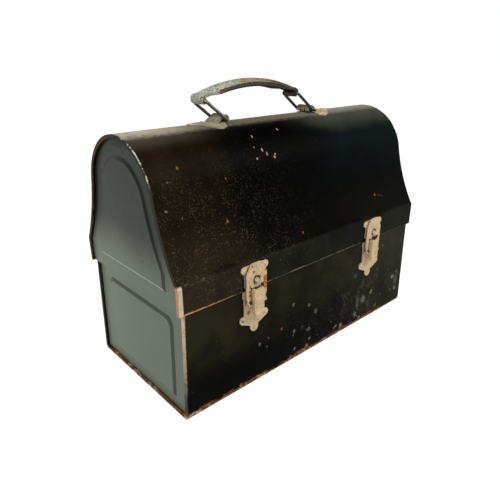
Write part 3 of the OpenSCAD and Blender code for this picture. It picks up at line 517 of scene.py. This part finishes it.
BRACKET_PAINT = {
    "leaf left": (0.44, 0.39, 0.25), "leaf right": (0.52, 0.39, 0.22),
    "tongue left": (0.155, 0.145, 0.100), "tongue right": (0.060, 0.050, 0.032),
    "stain": (0.150, 0.125, 0.075), "dirt": (0.075, 0.060, 0.034), "painted_shade": (0.012, 0.009, 0.005)}
WIRE_PAINT = {
    "left": (0.060, 0.048, 0.030), "right": (0.022, 0.020, 0.014),
    "highlight and wear left": (0.42, 0.34, 0.24), "highlight and wear right": (0.135, 0.125, 0.095)}
GRIP_PAINT = {
    "green": (0.28, 0.31, 0.25), "pale green": (0.46, 0.48, 0.39),
    "tan": (0.250, 0.195, 0.100), "pale tan": (0.400, 0.315, 0.175),
    "olive": (0.024, 0.022, 0.013), "pale olive": (0.046, 0.041, 0.025),
    "pit": (0.028, 0.022, 0.012), "hole": (0.060, 0.052, 0.030),
    "under": (0.007, 0.006, 0.004), "under rust": (0.050, 0.013, 0.006), "painted_shade": (0.012, 0.010, 0.007)}


def bracket_metal(name):
    """Khaki leaves on the dome, and darker tongues above them"""
    look = Look(name)
    paint = BRACKET_PAINT
    wide = look.noise(90, 3, 0.6)
    fine = look.noise(600, 3, 0.6)
    right = look.step(look.x, 0.0, 0.01)
    raised = look.step(look.z, look.between(right, 0.1850, 0.1840), 0.1872)
    look.colour = look.mix(raised, look.mix(right, paint["leaf left"], paint["leaf right"]),
                           look.mix(right, paint["tongue left"], paint["tongue right"]))
    look.lay(look.times(look.step(wide, 0.40, 0.62), 0.6), paint["stain"])
    look.lay(look.times(look.step(fine, 0.5, 0.7), 0.55), paint["dirt"])
    # painted shade in the gaps and corners
    look.lay(look.times(look.crevice_shade(0.0025), 0.9), paint["painted_shade"])
    return look.finish(Roughness=look.plus(0.42, look.times(fine, 0.2)), Metallic=0.15,
                       Normal=look.bump(fine, 0.3, 0.0003))


def link_wire(name):
    """Dark wire, worn bright and with a painted highlight on its upper front side"""
    look = Look(name)
    paint = WIRE_PAINT
    wide = look.noise(160, 3, 0.6)
    nx, ny, nz = look.facing()
    right = look.step(look.x, 0.0, 0.01)
    low = look.step(look.z, 0.1885, 0.1865)
    # the upper front faces are worn bright and given a painted highlight, with less of both at the lower ends
    highlight_and_wear = look.times(look.step(look.minus(nz, look.times(ny, 0.6)), 0.45, 0.85),
                        look.step(wide, 0.62, 0.42, 0.25, 1.0), look.minus(1.0, look.times(low, 0.85)))
    look.colour = look.mix(highlight_and_wear, look.mix(right, paint["left"], paint["right"]),
                           look.mix(right, paint["highlight and wear left"], paint["highlight and wear right"]))
    return look.finish(Roughness=0.38, Metallic=0.3, Normal=look.bump(look.noise(500, 3), 0.2, 0.0003))


def grip_paint(name):
    """Stippled paint, green on the left, tan in the middle and worn to olive on the right"""
    look = Look(name)
    paint = GRIP_PAINT
    pits = look.noise(1050, 3, 0.7)
    holes = look.noise(380, 3, 0.65)
    wide = look.noise(60, 3, 0.6)
    along = look.step(look.plus(look.x, look.sway(wide, 0.03)), -0.062, 0.026)
    look.colour = look.mix(wide, paint["green"], paint["pale green"])
    look.lay(look.step(along, 0.10, 0.38), look.mix(wide, paint["tan"], paint["pale tan"]))
    look.lay(look.step(along, 0.6, 0.92), look.mix(wide, paint["olive"], paint["pale olive"]))
    depth = look.step(along, 0.02, 0.40, 0.55, 0.95)
    look.lay(look.times(look.step(pits, 0.49, 0.56), depth), paint["pit"])
    look.lay(look.times(look.step(holes, 0.55, 0.62), 0.6), paint["hole"])
    # painted shade along the rolled edge underneath, with rust in it
    away = look.distance(look.plus(look.x, -GRIP_X), look.plus(look.z, -GRIP_Z))
    under = look.times(look.step(away, GRIP_R - 0.0022, GRIP_R - 0.0030), look.step(along, 0.03, 0.12),
                       look.step(look.x, 0.034, 0.028))
    look.lay(look.times(under, 0.93),
             look.mix(look.step(wide, 0.52, 0.66), paint["under"], paint["under rust"]))
    # painted shade in the gaps and corners
    look.lay(look.times(look.crevice_shade(0.002), 0.85), paint["painted_shade"])
    return look.finish(Roughness=look.plus(0.40, look.times(pits, 0.25)), Specular_IOR_Level=0.3,
                       Normal=look.bump(pits, 0.6, 0.0004))


# ---------- inside ----------

STEEL = (0.34, 0.33, 0.31)
STEEL_STAIN = (0.20, 0.15, 0.10)


def plain_steel(name):
    look = Look(name)
    fine = look.noise(500, 3)
    look.colour = look.mix(look.step(look.noise(80), 0.4, 0.7), STEEL, STEEL_STAIN)
    return look.finish(Roughness=look.plus(0.35, look.times(fine, 0.2)), Metallic=0.7,
                       Normal=look.bump(fine, 0.2, 0.0003))


# ---------- dressing the nodes ----------

looks = {
    "lid": lid_enamel("enamel_lid"), "box": box_enamel("enamel_box"), "hinge": hinge_enamel("enamel_hinge"),
    "panel": panel_enamel("enamel_panel"), "latch": latch_metal("latch_metal"),
    "bracket": bracket_metal("bracket_metal"), "wire": link_wire("handle_wire"),
    "grip": grip_paint("grip_paint"), "steel": plain_steel("inner_steel")}
wears = {
    "lid_wrapper": "lid", "box_wrapper": "box",
    "lid_end_left": "panel", "lid_end_right": "panel", "box_end_left": "panel", "box_end_right": "panel",
    "handle_bracket_left": "bracket", "handle_bracket_right": "bracket", "handle_bracket_rivets": "bracket",
    "handle_link_left": "wire", "handle_link_right": "wire", "handle_grip": "grip",
    "hinge_pins": "steel", "bail_brackets": "steel", "bail_clip": "steel", "bottle_bail": "steel"}

# the angle, in degrees, from which an edge stays sharp; less on the panels, whose slopes are shallow
SHARP = 32
SHARP_PANEL = 14

for name, piece in nodes.items():
    wear = wears.get(name) or ("hinge" if "hinge" in name else "latch")
    for slot in piece.material_slots:
        slot.material = looks[wear]
    piece.data.shade_smooth()
    piece.data.set_sharp_from_angle(angle=math.radians(SHARP_PANEL if wear == "panel" else SHARP))


# ---------- camera ----------

def direction(azimuth, elevation):
    """The way from the object to a place round it, from angles in degrees; azimuth 0 is the front"""
    a = math.radians(azimuth)
    e = math.radians(elevation)
    return Vector((math.sin(a) * math.cos(e), -math.cos(a) * math.cos(e), math.sin(e)))


CAMERA_AT = (-0.25944, -0.27280, 0.22729)
CAMERA_AZIMUTH = -41.602
CAMERA_ELEVATION = 22.619
CAMERA_ROLL = math.radians(-0.359)

camera = bpy.data.objects.new("camera", bpy.data.cameras.new("camera"))
bpy.context.collection.objects.link(camera)
bpy.context.scene.camera = camera
camera.data.lens = 33.98
camera.data.sensor_width = 36
camera.data.clip_start = 0.02
camera.data.clip_end = 50
back = direction(CAMERA_AZIMUTH, CAMERA_ELEVATION)
right = Vector((0, 0, 1)).cross(back).normalized()
up = back.cross(right)
cos_roll = math.cos(CAMERA_ROLL)
sin_roll = math.sin(CAMERA_ROLL)
turned = Matrix((right * cos_roll + up * sin_roll, up * cos_roll - right * sin_roll, back)).transposed()
camera.matrix_world = Matrix.Translation(CAMERA_AT) @ turned.to_4x4()


# ---------- floor ----------

# half the floor's width, and a gap that keeps it off the box's underside
FLOOR_HALF = 6
FLOOR_GAP = 0.0004

corners = [(-FLOOR_HALF, -FLOOR_HALF, 0), (FLOOR_HALF, -FLOOR_HALF, 0),
           (FLOOR_HALF, FLOOR_HALF, 0), (-FLOOR_HALF, FLOOR_HALF, 0)]
floor_mesh = bpy.data.meshes.new("floor")
floor_mesh.from_pydata(corners, [], [(0, 1, 2, 3)])
floor = bpy.data.objects.new("floor", floor_mesh)
floor.location.z = -FLOOR_GAP
bpy.context.collection.objects.link(floor)

# pale grey to the light, and near white with the object's shadow to the eye
look = Look("floor")
plain = look.add("ShaderNodeBsdfDiffuse", Color=(0.70, 0.70, 0.69)).outputs[0]
shadowed = look.add("ShaderNodeBsdfDiffuse", Color=(0.26, 0.26, 0.26)).outputs[0]
glow = look.add("ShaderNodeEmission", Color=(1, 1, 1), Strength=0.92).outputs[0]
white = look.feed(look.add("ShaderNodeAddShader"), shadowed, glow)
look.add("ShaderNodeOutputMaterial", Surface=look.mix_shaders(look.seen(), plain, white))
floor_mesh.materials.append(look.mat)


# ---------- world and lamps ----------

# white to the camera, a pale sweep under a dim ceiling to mirrors, and a soft even fill to the rest
world = bpy.data.worlds.new("studio")
bpy.context.scene.world = world
world.use_nodes = True
sky = Nodes(world.node_tree)
way = sky.add("ShaderNodeTexCoord").outputs["Generated"]
height = sky.add("ShaderNodeSeparateXYZ", Vector=way).outputs[2]
sweep = sky.step(height, 0.62, 0.30, 0.05, 1.0)
straight = sky.add("ShaderNodeLightPath").outputs["Is Camera Ray"]
shown = sky.add("ShaderNodeBackground", Color=(1, 1, 1), Strength=sky.most(sweep, straight)).outputs[0]
fill = sky.add("ShaderNodeBackground", Color=(1.0, 0.99, 0.96), Strength=0.35).outputs[0]
sky.add("ShaderNodeOutputWorld", Surface=sky.mix_shaders(sky.seen(), fill, shown))

# the height that the lamps look at
MIDDLE_Z = 0.1


def lamp(name, azimuth, elevation, distance, size, power, colour, gloss):
    """A square lamp that looks at the middle of the object"""
    data = bpy.data.lights.new(name, "AREA")
    data.shape = "SQUARE"
    data.size = size
    data.energy = power
    data.color = colour
    data.specular_factor = gloss
    light = bpy.data.objects.new(name, data)
    bpy.context.collection.objects.link(light)
    away = direction(azimuth, elevation)
    light.location = Vector((0, 0, MIDDLE_Z)) + away * distance
    light.rotation_mode = "QUATERNION"
    light.rotation_quaternion = away.to_track_quat("Z", "Y")


lamp("key", 38, 42, 1.5, 0.8, 15, (1.0, 0.96, 0.88), 0.12)
lamp("side", -80, 30, 1.6, 0.9, 13, (0.97, 1.0, 0.98), 0.2)
lamp("top", -10, 80, 1.5, 0.8, 6, (1.0, 0.98, 0.95), 0.12)

bpy.context.scene.view_settings.view_transform = "Standard"
